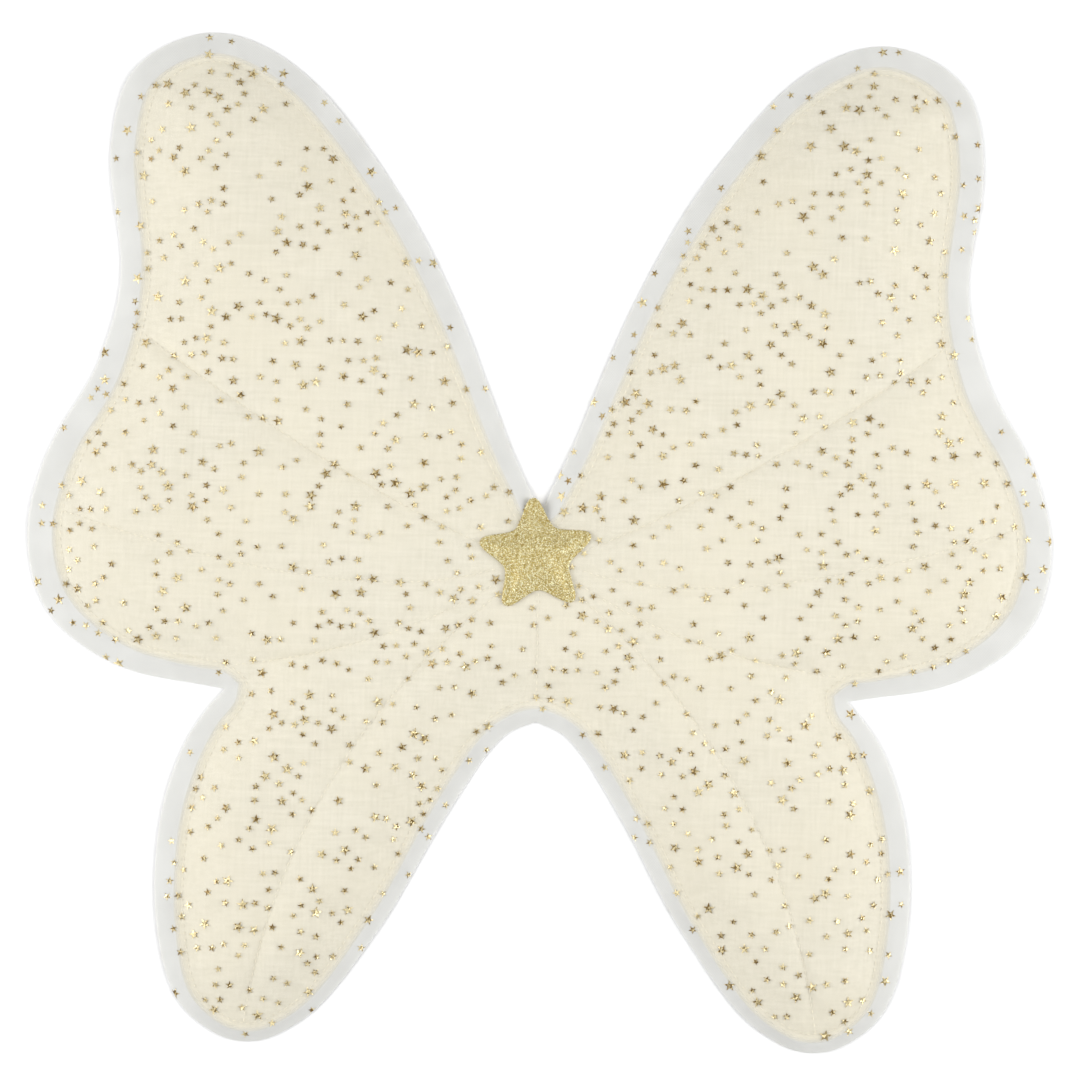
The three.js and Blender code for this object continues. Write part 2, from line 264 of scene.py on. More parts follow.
def hex_points(low, high, step):
    """Points of a triangular grid over a box."""
    rows = np.arange(low[1], high[1], step * math.sqrt(0.75))
    columns = np.arange(low[0], high[0], step)
    return np.array([(x + step / 2 * (i % 2), y) for i, y in enumerate(rows) for x in columns])


def thinned(kept, extra, clear):
    """The extra points that keep clear of the kept ones and of each other."""
    cells = {}

    def cell(p):
        return int(p[0] // clear), int(p[1] // clear)

    def crowded(p):
        i, j = cell(p)
        near = [q for di in (-1, 0, 1) for dj in (-1, 0, 1) for q in cells.get((i + di, j + dj), ())]
        return any((p[0] - q[0]) ** 2 + (p[1] - q[1]) ** 2 < clear * clear for q in near)

    for p in kept:
        cells.setdefault(cell(p), []).append(p)
    added = []
    for p in extra:
        if not crowded(p):
            cells.setdefault(cell(p), []).append(p)
            added.append(p)
    return np.array(added)


def fill_plan(loops, lines, loose, outer):
    """Triangles over the outer loop that keep every step of the loops and lines as an edge."""
    points, edges = [], []
    for path, is_loop in [(p, True) for p in loops] + [(p, False) for p in lines]:
        first = len(points)
        points.extend(path)
        edges.extend((first + i, first + i + 1) for i in range(len(path) - 1))
        if is_loop:
            edges.append((len(points) - 1, first))
    points.extend(loose)
    cut = delaunay_2d_cdt([Vector(p) for p in points], edges, [], 0, 1e-7)
    places = np.array([tuple(p) for p in cut[0]])
    faces = np.array(cut[2])
    return places, faces[inside(places[faces].mean(axis=1), outer)]


outer_loop = smooth_loop(outline_loop("tulle_back"), LOOP_STEP)
pad_loop = smooth_loop(outline_loop("quilted_pad"), SEAM_STEP)
roll_loop = pad_loop - loop_normals(pad_loop) * EDGE_ROW
stitch_loop = pad_loop - loop_normals(pad_loop) * RIM_STITCH
star_loop = blunted(smooth_loop(outline_loop("glitter_star"), STAR_STEP), STAR_BLUNT)
star_loop += loop_normals(star_loop) * STAR_SWELL
neck = outer_loop[np.argmin(np.hypot(outer_loop[:, 0], outer_loop[:, 1] - NECK_Y))]
seam_shift = neck[1] - NECK_Y
outer_loop[:, 1] -= NECK_DROP * ease(1 - np.linalg.norm(outer_loop - neck, axis=1) / NECK_REACH)
seams = [seam_line(places, seam_shift, side) for places in SEAMS.values() for side in (1, -1)]
seams.append(seam_line(MIDDLE_SEAM, seam_shift, 1))
seams = [line[inside(line, stitch_loop)] for line in seams]
seams = [line[nearest_on(line, [closed(stitch_loop)])[0] > SEAM_STEP / 2] for line in seams]

fixed = np.concatenate([outer_loop, pad_loop, roll_loop, stitch_loop] + seams)
rows = np.concatenate([beside(line, gap) for gap in SEAM_ROWS for line in seams + [stitch_loop]])
rows = thinned(fixed, rows[inside(rows, pad_loop)], ROW_CLEAR)
grid = hex_points(outer_loop.min(0), outer_loop.max(0), FILL_STEP)
grid = thinned(np.concatenate([fixed, rows]), grid[inside(grid, outer_loop)], FILL_CLEAR)
loose = np.concatenate([rows, grid])
plan, plan_faces = fill_plan([outer_loop, pad_loop, roll_loop, stitch_loop], seams, loose, outer_loop)


# The pad: cotton blown up by its wadding between the rows of stitches


def new_piece(name, points, faces):
    """A mesh object at the origin with its place in its points."""
    mesh = bpy.data.meshes.new(name)
    mesh.from_pydata([tuple(p) for p in points], [], [tuple(int(i) for i in f) for f in faces])
    mesh.update()
    piece = bpy.data.objects.new(name, mesh)
    bpy.context.scene.collection.objects.link(piece)
    return piece


def evaluated_points(piece):
    """Where the piece's points are once its modifiers have run."""
    shown = piece.evaluated_get(bpy.context.evaluated_depsgraph_get())
    places = np.zeros(len(shown.data.vertices) * 3)
    shown.data.vertices.foreach_get("co", places)
    return places.reshape(-1, 3)


def blown_up(points, faces, pinned):
    """The cloth's points after the wadding has pushed it out between the pinned ones."""
    cloth = new_piece("cloth_in_the_making", points, faces)
    group = cloth.vertex_groups.new(name="sewn")
    group.add([int(i) for i in np.flatnonzero(pinned)], 1.0, "REPLACE")
    modifier = cloth.modifiers.new("cloth", "CLOTH")
    modifier.collision_settings.use_collision = False
    modifier.point_cache.frame_end = SIM_FRAMES
    settings = modifier.settings
    settings.vertex_group_mass = "sewn"
    settings.effector_weights.gravity = 0
    settings.quality = 6
    settings.mass = 0.1
    settings.tension_stiffness = 20
    settings.compression_stiffness = 8
    settings.shear_stiffness = 8
    settings.bending_stiffness = 0.4
    settings.air_damping = 2
    settings.use_pressure = True
    settings.uniform_pressure_force = PRESSURE
    settings.shrink_min = -SLACK
    scene = bpy.context.scene
    for number in range(1, SIM_FRAMES + 1):
        scene.frame_set(number)
    places = evaluated_points(cloth)
    scene.frame_set(1)
    mesh = cloth.data
    bpy.data.objects.remove(cloth)
    bpy.data.meshes.remove(mesh)
    return places


def point_map(faces):
    """The points that the faces use, and the faces numbered by them."""
    used, numbered = np.unique(faces, return_inverse=True)
    return used, numbered.reshape(faces.shape)


def on_seat(points):
    """1 under the star, fading to 0 round it."""
    gap = nearest_on(points, [closed(star_loop)])[0]
    gap[inside(points, star_loop)] = 0
    return ease(1 - gap / SEAT_REACH)


def seat_level(points):
    """Height of the star's seat, which falls from its middle towards the neck."""
    return SEAT_TOP - SEAT_FALL * ease((points[:, 1] - star_loop[:, 1].mean()) / SEAT_SLOPE)


def puckers(gap, run):
    """Heights of the small folds that a row of stitches draws in the cloth on both sides of it."""
    height = np.zeros(len(gap))
    for length, reach, most in PUCKERS:
        waves = [noise.noise(Vector((r, g / 2, length)) / length) for r, g in zip(run, gap)]
        height += most * np.array(waves) * gap / reach * np.exp(1 - gap / reach)
    return height


def smoothed(values, faces, rounds):
    """Values drawn towards their neighbours along the faces' edges, that many times."""
    ends = np.concatenate([faces[:, [0, 1]], faces[:, [1, 2]], faces[:, [2, 0]]])
    ends = np.concatenate([ends, ends[:, ::-1]])
    count = np.bincount(ends[:, 0], minlength=len(values))
    for _ in range(rounds):
        total = np.bincount(ends[:, 0], values[ends[:, 1]], len(values))
        values = (values + total / count) / 2
    return values


def underside(node, points, level):
    """Heights of a node's underside at the points, or the given level just off its edge."""
    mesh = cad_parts[node].data
    tree = BVHTree.FromPolygons([v.co for v in mesh.vertices], [f.vertices for f in mesh.polygons])
    hits = [tree.ray_cast(Vector((x, y, -10 * MM)), Vector((0, 0, 1)))[0] for x, y in points]
    return np.array([level if hit is None else hit.z for hit in hits])


in_pad = inside(plan[plan_faces].mean(axis=1), pad_loop)
pad_points, pad_faces = point_map(plan_faces[in_pad])
pad_plan = plan[pad_points]
pad_under = smoothed(underside("quilted_pad", pad_plan, PAD_FLOOR), pad_faces, BACK_ROUNDS)
rim_gap = nearest_on(pad_plan, [closed(pad_loop)])[0]
fan_gap = nearest_on(pad_plan, seams[:-1])[0]
middle_gap = nearest_on(pad_plan, seams[-1:])[0]
seat = on_seat(pad_plan)
rim_in = rim_gap - RIM_STITCH
level = RIM_TOP + (PAD_TOP - RIM_TOP) * round_rise(rim_in / RIM_REACH)
groove = SEAM_DEPTH * np.exp(-fan_gap / SEAM_REACH) + MIDDLE_DEPTH * np.exp(-middle_gap / SEAM_REACH)
level -= groove * ease(rim_in / SEAM_END)
level -= EDGE_DROP * (1 - round_rise(rim_gap / EDGE_ROLL))
level = np.maximum(level, pad_under + RIM_LEAST)
level += (seat_level(pad_plan) - level) * seat
sewn = (np.minimum(fan_gap, middle_gap) < ON_LINE) | (rim_in < ON_LINE) | (seat == 1)
pad_top = np.column_stack([pad_plan, level])
pad_top = blown_up(pad_top, pad_faces, sewn)
pad_top[:, 2] += puckers(*nearest_on(pad_plan, seams + [closed(stitch_loop)])) * (1 - seat)


def point_normals(points, faces):
    """Unit normals at the points of a surface."""
    a, b, c = (points[faces[:, i]] for i in range(3))
    across = np.cross(b - a, c - a)
    normals = np.zeros_like(points)
    for i in range(3):
        np.add.at(normals, faces[:, i], across)
    return normals / np.linalg.norm(normals, axis=1)[:, None]


def edge_ring(faces):
    """The numbers of the points round the faces' edge, in order."""
    steps = {(int(f[i]), int(f[i - 2])) for f in faces for i in range(3)}
    ahead = {a: b for a, b in steps if (b, a) not in steps}
    ring = [min(ahead)]
    while ahead[ring[-1]] != ring[0]:
        ring.append(ahead[ring[-1]])
    return ring


def closed_skin(top, bottom, faces, bulge):
    """Points and faces of a closed skin: front, back turned over, and a rounded edge between them."""
    ring = edge_ring(faces)
    edge = (top[ring] + bottom[ring]) / 2
    edge[:, :2] += loop_normals(edge[:, :2]) * bulge
    count = len(top)
    skin = [tuple(f) for f in faces] + [(c + count, b + count, a + count) for a, b, c in faces]
    for i, here in enumerate(ring):
        there, j = ring[(i + 1) % len(ring)], (i + 1) % len(ring)
        skin.append((here, 2 * count + i, 2 * count + j, there))
        skin.append((2 * count + i, here + count, there + count, 2 * count + j))
    return np.concatenate([top, bottom, edge]), skin


pad_bottom = np.column_stack([pad_plan, pad_under])
quilted_pad = new_piece("padded_cotton", *closed_skin(pad_top, pad_bottom, pad_faces, PAD_EDGE_ROUND))

# Tulle: two sheets that follow the pad and run past it as a sheer border

border_in = nearest_on(plan, [closed(pad_loop)])[0]
border_out = nearest_on(plan, [closed(outer_loop)])[0]
border_share = ease(border_in / (border_in + border_out))
ripple = np.array([noise.noise(Vector((x, y, 0)) / RIPPLE_LENGTH) for x, y in plan]) * RIPPLE * border_share
pad_edge = pad_top[rim_gap < ON_LINE]
nearest = [np.argmin(np.sum((pad_edge[:, :2] - p) ** 2, axis=1)) for p in plan]
inner_level = pad_edge[nearest, 2] + TULLE_GAP
outer_level = EDGE_FRONT + EDGE_LIFT * on_seat(plan)
front = np.column_stack([plan, inner_level + (outer_level - inner_level) * border_share + ripple])
front[pad_points] = pad_top + point_normals(pad_top, pad_faces) * TULLE_GAP
back = np.column_stack([plan, PAD_FLOOR - TULLE_GAP + (EDGE_BACK - PAD_FLOOR + TULLE_GAP) * border_share])
back[:, 2] += ripple / 2
back[pad_points] = pad_bottom
back[pad_points, 2] -= TULLE_GAP

bare = np.ones(len(plan))
bare[pad_points] = 1 - round_rise(rim_gap / VEIL_REACH)
tulle_front = new_piece("star_tulle_front", front, plan_faces)
tulle_back = new_piece("star_tulle_back", back, plan_faces[:, ::-1])
for sheet in (tulle_front, tulle_back):
    sheet.data.attributes.new("bare", "FLOAT", "POINT").data.foreach_set("value", bare)


# Trees of nodes


def linear(code):
    """A colour written as sRGB hex, as the linear value that shaders take."""
    parts = [int(code[i:i + 2], 16) / 255 for i in (1, 3, 5)]
    return (*[c / 12.92 if c <= 0.04045 else ((c + 0.055) / 1.055) ** 2.4 for c in parts], 1.0)


def add(tree, kind, inputs=None, **settings):
    """A node with its settings. An input is a value, a socket, a node whose first output in use feeds it,
    or a list of those, and is named by its number or by its name among the inputs in use."""
    node = tree.nodes.new(kind)
    for name, value in settings.items():
        setattr(node, name, value)
    for key, value in (inputs or {}).items():
        named = [s for s in node.inputs if s.enabled and s.name == key]
        socket = node.inputs[key] if isinstance(key, int) else named[0]
        for feed in value if isinstance(value, list) else [value]:
            if isinstance(feed, bpy.types.Node):
                feed = next(s for s in feed.outputs if s.enabled)
            if isinstance(feed, bpy.types.NodeSocket):
                tree.links.new(feed, socket)
            else:
                socket.default_value = feed
    return node


def new_tree(name, **sizes):
    """A tree for shapes that takes a mesh and named sizes. Gives the tree and its inputs' sockets."""
    tree = bpy.data.node_groups.new(name, "GeometryNodeTree")
    tree.interface.new_socket("Geometry", in_out="INPUT", socket_type="NodeSocketGeometry")
    for size, kind in sizes.items():
        tree.interface.new_socket(size, in_out="INPUT", socket_type="NodeSocket" + kind)
    tree.interface.new_socket("Geometry", in_out="OUTPUT", socket_type="NodeSocketGeometry")
    return tree, add(tree, "NodeGroupInput").outputs


def end_tree(tree, geometry, material):
    """Closes a tree: instances made real, and the material set."""
    real = add(tree, "GeometryNodeRealizeInstances", {"Geometry": geometry})
    finished = add(tree, "GeometryNodeSetMaterial", {"Geometry": real, "Material": material})
    add(tree, "NodeGroupOutput", {"Geometry": finished})


def grown(name, source, tree, **sizes):
    """The plain mesh that a tree makes from the source piece with these sizes."""
    carrier = bpy.data.objects.new(name, source.data)
    bpy.context.scene.collection.objects.link(carrier)
    modifier = carrier.modifiers.new("tree", "NODES")
    modifier.node_group = tree
    for item in tree.interface.items_tree:
        if item.name in sizes:
            modifier[item.identifier] = sizes[item.name]
    shown = carrier.evaluated_get(bpy.context.evaluated_depsgraph_get())
    mesh = bpy.data.meshes.new_from_object(shown)
    bpy.data.objects.remove(carrier)
    piece = bpy.data.objects.new(name, mesh)
    bpy.context.scene.collection.objects.link(piece)
    return piece


# Finishes


def new_material(name):
    """An empty material. Gives it, its tree, and the coordinates that its patterns read."""
    material = bpy.data.materials.new(name)
    material.use_nodes = True
    tree = material.node_tree
    tree.nodes.clear()
    return material, tree, add(tree, "ShaderNodeTexCoord").outputs["Object"]


def surfaced(material, inputs):
    """The material, closed with its shader."""
    shader = add(material.node_tree, "ShaderNodeBsdfPrincipled", inputs)
    add(material.node_tree, "ShaderNodeOutputMaterial", {"Surface": shader})
    return material


def streaks(tree, places, wide, tall):
    """Noise drawn out into streaks of this size along x and y, in metres."""
    scale = (1 / wide, 1 / tall, 1 / min(wide, tall))
    stretched = add(tree, "ShaderNodeMapping", {"Vector": places, "Scale": scale})
    return add(tree, "ShaderNodeTexNoise", {"Vector": stretched, "Scale": 1, "Detail": 2})


def woven_cotton():
    """Plain-woven cream cotton: matt, with faint slubs along both threads and soft changes of tone."""
    material, tree, places = new_material("woven_cream_cotton")
    warp = streaks(tree, places, 1.2 * MM, 24 * MM)
    weft = streaks(tree, places, 34 * MM, 1.5 * MM)
    slubs = add(tree, "ShaderNodeMath", {0: warp, 1: 0.8, 2: weft}, operation="MULTIPLY_ADD")
    share = add(tree, "ShaderNodeMapRange", {"Value": slubs, "From Min": 0.62, "From Max": 1.18})
    colours = {"Factor": share, "A": linear("#DBD5C1"), "B": linear("#E6E0CE")}
    tone = add(tree, "ShaderNodeMix", colours, data_type="RGBA")
    cloud = add(tree, "ShaderNodeTexNoise", {"Vector": places, "Scale": 1 / (60 * MM), "Detail": 1})
    share = {"Value": cloud, "From Min": 0.3, "From Max": 0.7, "To Max": 0.4}
    colours = {"Factor": add(tree, "ShaderNodeMapRange", share), "A": tone, "B": linear("#E6DEC6")}
    tone = add(tree, "ShaderNodeMix", colours, data_type="RGBA")
    relief = add(tree, "ShaderNodeBump", {"Height": slubs, "Strength": 0.15, "Distance": 0.2 * MM})
    return surfaced(material, {"Base Color": tone, "Normal": relief, "Roughness": 0.9, "Sheen Weight": 0.1})


def nylon_tulle():
    """Soft nylon tulle: a matt net of 0.7 mm meshes that the eye takes for a haze. It is faint where it
    lies on the cotton, and closes up to a cool grey veil with soft folds where two layers hang free."""
    material, tree, places = new_material("nylon_tulle")
    lines = []
    for turn in (math.radians(30), math.radians(-30)):
        turned = add(tree, "ShaderNodeMapping", {"Vector": places, "Rotation": (0, 0, turn)})
        wave = {"Vector": turned, "Scale": 2 * math.pi / (20 * 0.7 * MM)}
        lines.append(add(tree, "ShaderNodeTexWave", wave, wave_profile="SIN").outputs["Fac"])
    net = add(tree, "ShaderNodeMath", {0: lines[0], 1: lines[1]}, operation="MAXIMUM")
    thread = {"Value": net, "From Min": 0.5, "To Min": 0.93, "To Max": 1.07}
    thread = add(tree, "ShaderNodeMapRange", thread)
    bare = add(tree, "ShaderNodeAttribute", attribute_name="bare").outputs["Fac"]
    cover = add(tree, "ShaderNodeMapRange", {"Value": bare, "To Min": 0.15, "To Max": 0.75})
    folds = add(tree, "ShaderNodeTexNoise", {"Vector": places, "Scale": 1 / (25 * MM), "Detail": 2})
    folds = {"Value": folds, "From Min": 0.3, "From Max": 0.7, "To Min": 0.92, "To Max": 1.08}
    folds = add(tree, "ShaderNodeMapRange", folds)
    closer = add(tree, "ShaderNodeMath", {0: thread, 1: folds}, operation="MULTIPLY")
    alpha = add(tree, "ShaderNodeMath", {0: cover, 1: closer}, operation="MULTIPLY")
    return surfaced(material, {"Base Color": linear("#E6E6E2"), "Alpha": alpha, "Roughness": 0.75})


def gold_foil():
    """Hot-pressed gold foil: the net under it breaks each print into small facets that lean their own ways,
    with pits between them that let the cloth show through. Each facet is painted bronze or pale, and each
    star darker or paler by its tone, as a painted reflection of the dark ceiling and the bright lamps."""
    material, tree, places = new_material("pressed_gold_foil")
    own = add(tree, "ShaderNodeAttribute", attribute_name="tone").outputs["Fac"]
    lean = add(tree, "ShaderNodeAttribute", attribute_name="lean").outputs["Vector"]
    facets = add(tree, "ShaderNodeTexVoronoi", {"Vector": places, "Scale": 1 / (0.75 * MM)})
    # painted reflection: the facet's colour, shifted by the star's tone, stands for the dark ceiling or a
    # lamp mirrored in it
    painted_reflection_share = {0: own, 1: 0.4, 2: facets.outputs["Color"]}
    painted_reflection_share = add(tree, "ShaderNodeMath", painted_reflection_share, operation="MULTIPLY_ADD")
    painted_reflection_share = add(tree, "ShaderNodeMapRange", {"Value": painted_reflection_share, "From Min": 0.4, "From Max": 1.0})
    colours = {"Factor": painted_reflection_share, "A": linear("#856B3A"), "B": linear("#FFEFBC")}
    tone = add(tree, "ShaderNodeMix", colours, data_type="RGBA")
    whole = {"Value": facets.outputs["Distance"], "From Min": 0.1, "From Max": 0.25, "To Min": 0.5}
    ways = {0: facets.outputs["Color"], 1: (0.5, 0.5, 0.5)}
    ways = add(tree, "ShaderNodeVectorMath", ways, operation="SUBTRACT")
    facing = add(tree, "ShaderNodeVectorMath", {0: ways, "Scale": 0.7}, operation="SCALE")
    straight = add(tree, "ShaderNodeNewGeometry").outputs["Normal"]
    for tilt in (lean, facing):
        straight = add(tree, "ShaderNodeVectorMath", {0: straight, 1: tilt}, operation="ADD")
    normal = add(tree, "ShaderNodeVectorMath", {0: straight}, operation="NORMALIZE")
    alpha = add(tree, "ShaderNodeMapRange", whole)
    metal = {"Base Color": tone, "Alpha": alpha, "Normal": normal, "Metallic": 0.5, "Roughness": 0.45}
    return surfaced(material, metal)


def glitter_cloth():
    """The cloth under the glitter: gold lacquer, seen only as a deeper tone between the flakes."""
    material, tree, places = new_material("gold_glitter_cloth")
    grain = add(tree, "ShaderNodeTexVoronoi", {"Vector": places, "Scale": 1 / (0.6 * MM)})
    colours = {"Factor": grain.outputs["Color"], "A": linear("#B09A50"), "B": linear("#DCC880")}
    tone = add(tree, "ShaderNodeMix", colours, data_type="RGBA")
    relief = add(tree, "ShaderNodeBump", {"Height": grain.outputs["Distance"], "Distance": 0.15 * MM})
    return surfaced(material, {"Base Color": tone, "Normal": relief, "Metallic": 0.3, "Roughness": 0.5})


def glitter_flake():
    """Glitter: fine cut metallised film, every flake at its own angle, painted from deep gold to near
    white: partly the film's own spread of golds, and the palest flakes painted glints.
    """
    material, tree, _ = new_material("gold_glitter_flakes")
    own = add(tree, "ShaderNodeAttribute", attribute_name="tone").outputs["Fac"]
    # painted glints: the palest flakes stand for flakes that catch a lamp; the golds between are the film's
    # own tone
    colours = {"Factor": own, "A": linear("#A08538"), "B": linear("#FFFFDE")}
    tone = add(tree, "ShaderNodeMix", colours, data_type="RGBA")
    return surfaced(material, {"Base Color": tone, "Metallic": 0.15, "Roughness": 0.38})


def sewing_thread():
    """Spun cotton thread in the cloth's own cream: matt, with a twist too fine to draw."""
    material, tree, places = new_material("cream_sewing_thread")
    fibre = add(tree, "ShaderNodeTexNoise", {"Vector": places, "Scale": 1 / (0.5 * MM), "Detail": 1})
    colours = {"Factor": fibre, "A": linear("#E0D9C5"), "B": linear("#EBE5D4")}
    tone = add(tree, "ShaderNodeMix", colours, data_type="RGBA")
    return surfaced(material, {"Base Color": tone, "Roughness": 0.8})


def woven_elastic():
    """Flat woven elastic: cream ribs over rubber, matt with a faint nylon gloss along each rib."""
    material, tree, places = new_material("woven_flat_elastic")
    ribs = streaks(tree, places, 1.2 * MM, 8 * MM)
    share = add(tree, "ShaderNodeMapRange", {"Value": ribs, "From Min": 0.35, "From Max": 0.65})
    colours = {"Factor": share, "A": linear("#D8D0BC"), "B": linear("#F2ECDD")}
    tone = add(tree, "ShaderNodeMix", colours, data_type="RGBA")
    relief = add(tree, "ShaderNodeBump", {"Height": ribs, "Strength": 0.4, "Distance": 0.2 * MM})
    return surfaced(material, {"Base Color": tone, "Normal": relief, "Roughness": 0.6})


def white_floor():
    """Matt white studio paper with a barely uneven tone."""
    material, tree, places = new_material("white_studio_paper")
    cloud = add(tree, "ShaderNodeTexNoise", {"Vector": places, "Scale": 2, "Detail": 1})
    colours = {"Factor": cloud, "A": linear("#F6F6F6"), "B": linear("#F8F8F8")}
    tone = add(tree, "ShaderNodeMix", colours, data_type="RGBA")
    return surfaced(material, {"Base Color": tone, "Roughness": 0.9})


cotton = woven_cotton()
tulle = nylon_tulle()
foil = gold_foil()
thread = sewing_thread()
glitter = glitter_cloth()
flakes = glitter_flake()
elastic = woven_elastic()


# Gold stars printed on both sheets


def foil_star_tree():
    """Stars printed at random on a sheet: two sizes, a least gap between them, and bent to the cloth."""
    tree, given = new_tree(
        "foil_star_print", Small="Float", Large="Float", LargeShare="Float", Closest="Float",
        Density="Float", Waist="Float", Lean="Float", Film="Float", Seed="Int", Foil="Material",
    )
    bare = add(tree, "GeometryNodeInputNamedAttribute", {"Name": "bare"}, data_type="FLOAT")
    sparser = add(tree, "ShaderNodeMapRange", {"Value": bare, "To Min": 1.0, "To Max": 0.5})
    spots = {"Mesh": given["Geometry"], "Distance Min": given["Closest"], "Density Max": given["Density"]}
    spots.update({"Density Factor": sparser, "Seed": given["Seed"]})
    spots = add(tree, "GeometryNodeDistributePointsOnFaces", spots, distribute_method="POISSON")

    outline = {"Points": 5, "Inner Radius": given["Waist"], "Outer Radius": 0.5}
    outline = add(tree, "GeometryNodeCurveStar", outline).outputs["Curve"]
    face = add(tree, "GeometryNodeFillCurve", {"Curve": outline}, mode="NGONS")
    raised = add(tree, "GeometryNodeExtrudeMesh", {"Mesh": face, "Offset Scale": 1.0})
    under = add(tree, "GeometryNodeFlipFaces", {"Mesh": face})
    both = add(tree, "GeometryNodeJoinGeometry", {"Geometry": [raised, under]})
    star = add(tree, "GeometryNodeMergeByDistance", {"Geometry": both, "Distance": 0.001})
    place = add(tree, "GeometryNodeInputPosition").outputs[0]
    height = add(tree, "ShaderNodeSeparateXYZ", {0: place}).outputs["Z"]
    kept = {"Geometry": star, "Name": "height", "Value": height}
    star = add(tree, "GeometryNodeStoreNamedAttribute", kept, data_type="FLOAT", domain="POINT")

    large = {"Probability": given["LargeShare"], "Seed": 1}
    large = add(tree, "FunctionNodeRandomValue", large, data_type="BOOLEAN")
    size = {"Switch": large, "False": given["Small"], "True": given["Large"]}
    size = add(tree, "GeometryNodeSwitch", size, input_type="FLOAT")
    wear = add(tree, "FunctionNodeRandomValue", {"Min": 0.88, "Max": 1.08, "Seed": 2}, data_type="FLOAT")
    size = add(tree, "ShaderNodeMath", {0: size, 1: wear}, operation="MULTIPLY")
    flat = add(tree, "ShaderNodeCombineXYZ", {"X": size, "Y": size, "Z": given["Film"]})
    spin = {"Min": 0.0, "Max": 2 * math.pi, "Seed": 3}
    spin = add(tree, "FunctionNodeRandomValue", spin, data_type="FLOAT")
    spin = add(tree, "ShaderNodeCombineXYZ", {"Z": spin})
    turned = {"Rotation": spots.outputs["Rotation"], "Rotate By": spin}
    turned = add(tree, "FunctionNodeRotateRotation", turned, rotation_space="LOCAL")
    placed = {"Points": spots, "Instance": star, "Rotation": turned, "Scale": flat}
    placed = add(tree, "GeometryNodeInstanceOnPoints", placed)

    # tone: how pale each star's facets are painted, a painted reflection that differs from star to star
    tone = add(tree, "FunctionNodeRandomValue", {"Min": 0.0, "Max": 1.0, "Seed": 4}, data_type="FLOAT")
    kept = {"Geometry": placed, "Name": "tone", "Value": tone}
    placed = add(tree, "GeometryNodeStoreNamedAttribute", kept, data_type="FLOAT", domain="INSTANCE")
    lean = {"Min": (-1.0, -1.0, 0.0), "Max": (1.0, 1.0, 0.0), "Seed": 5}
    lean = add(tree, "FunctionNodeRandomValue", lean, data_type="FLOAT_VECTOR")
    lean = add(tree, "ShaderNodeVectorMath", {0: lean, "Scale": given["Lean"]}, operation="SCALE")
    kept = {"Geometry": placed, "Name": "lean", "Value": lean}
    placed = add(tree, "GeometryNodeStoreNamedAttribute", kept, data_type="FLOAT_VECTOR", domain="INSTANCE")
    real = add(tree, "GeometryNodeRealizeInstances", {"Geometry": placed})

    normal = add(tree, "GeometryNodeInputNormal").outputs[0]
    found = []
    for field in (place, normal):
        sample = {"Mesh": given["Geometry"], "Value": field, "Sample Position": place}
        found.append(add(tree, "GeometryNodeSampleNearestSurface", sample, data_type="FLOAT_VECTOR"))
    height = add(tree, "GeometryNodeInputNamedAttribute", {"Name": "height"}, data_type="FLOAT")
    lift = {0: height, 1: given["Film"], 2: given["Film"]}
    lift = add(tree, "ShaderNodeMath", lift, operation="MULTIPLY_ADD")
    lifted = add(tree, "ShaderNodeVectorMath", {0: found[1], "Scale": lift}, operation="SCALE")
    there = add(tree, "ShaderNodeVectorMath", {0: found[0], 1: lifted}, operation="ADD")
    bent = add(tree, "GeometryNodeSetPosition", {"Geometry": real, "Position": there})
    end_tree(tree, bent, given["Foil"])
    return tree


foil_print = foil_star_tree()
foil_sizes = {
    "Small": FOIL_SMALL,
    "Large": FOIL_LARGE,
    "LargeShare": FOIL_LARGE_SHARE,
    "Closest": FOIL_CLOSEST,
    "Density": FOIL_DENSITY,
    "Waist": FOIL_WAIST,
    "Lean": FOIL_LEAN,
    "Film": FOIL_FILM,
    "Foil": foil,
}
stars_front = grown("foil_stars_front", tulle_front, foil_print, Seed=7, **foil_sizes)
stars_back = grown("foil_stars_back", tulle_back, foil_print, Seed=19, **foil_sizes)


# Machine stitches along the seams and round the rim, through all the layers


def stitch_tree():
    """Stitches end to end along every line of a mesh of lines."""
    tree, given = new_tree(
        "machine_stitches", Pitch="Float", Length="Float", Width="Float", Thread="Material"
    )
    line = add(tree, "GeometryNodeMeshToCurve", {"Mesh": given["Geometry"]})
    spaced = {"Curve": line, "Length": given["Pitch"]}
    places = add(tree, "GeometryNodeResampleCurve", spaced, mode="LENGTH")
    tangent = add(tree, "GeometryNodeInputTangent")
    turned = add(tree, "FunctionNodeAlignRotationToVector", {"Vector": tangent}, axis="X")
    bead = add(tree, "GeometryNodeMeshUVSphere", {"Segments": 6, "Rings": 4, "Radius": 0.5})
    bead = add(tree, "GeometryNodeSetShadeSmooth", {"Geometry": bead})
    long = {"X": given["Length"], "Y": given["Width"], "Z": given["Width"]}
    long = add(tree, "ShaderNodeCombineXYZ", long)
    placed = {"Points": places, "Instance": bead, "Rotation": turned, "Scale": long}
    end_tree(tree, add(tree, "GeometryNodeInstanceOnPoints", placed), given["Thread"])
    return tree


def seam_paths(name, sheet):
    """A mesh of lines along every row of stitches on a sheet."""
    places, steps = [], []
    for line in seams + [closed(stitch_loop)]:
        numbers = [int(np.argmin(np.sum((plan - p) ** 2, axis=1))) for p in line]
        first = len(places)
        places.extend(sheet[numbers])
        steps.extend((first + i, first + i + 1) for i in range(len(numbers) - 1))
    mesh = bpy.data.meshes.new(name)
    mesh.from_pydata([tuple(p) for p in places], steps, [])
    paths = bpy.data.objects.new(name, mesh)
    bpy.context.scene.collection.objects.link(paths)
    return paths


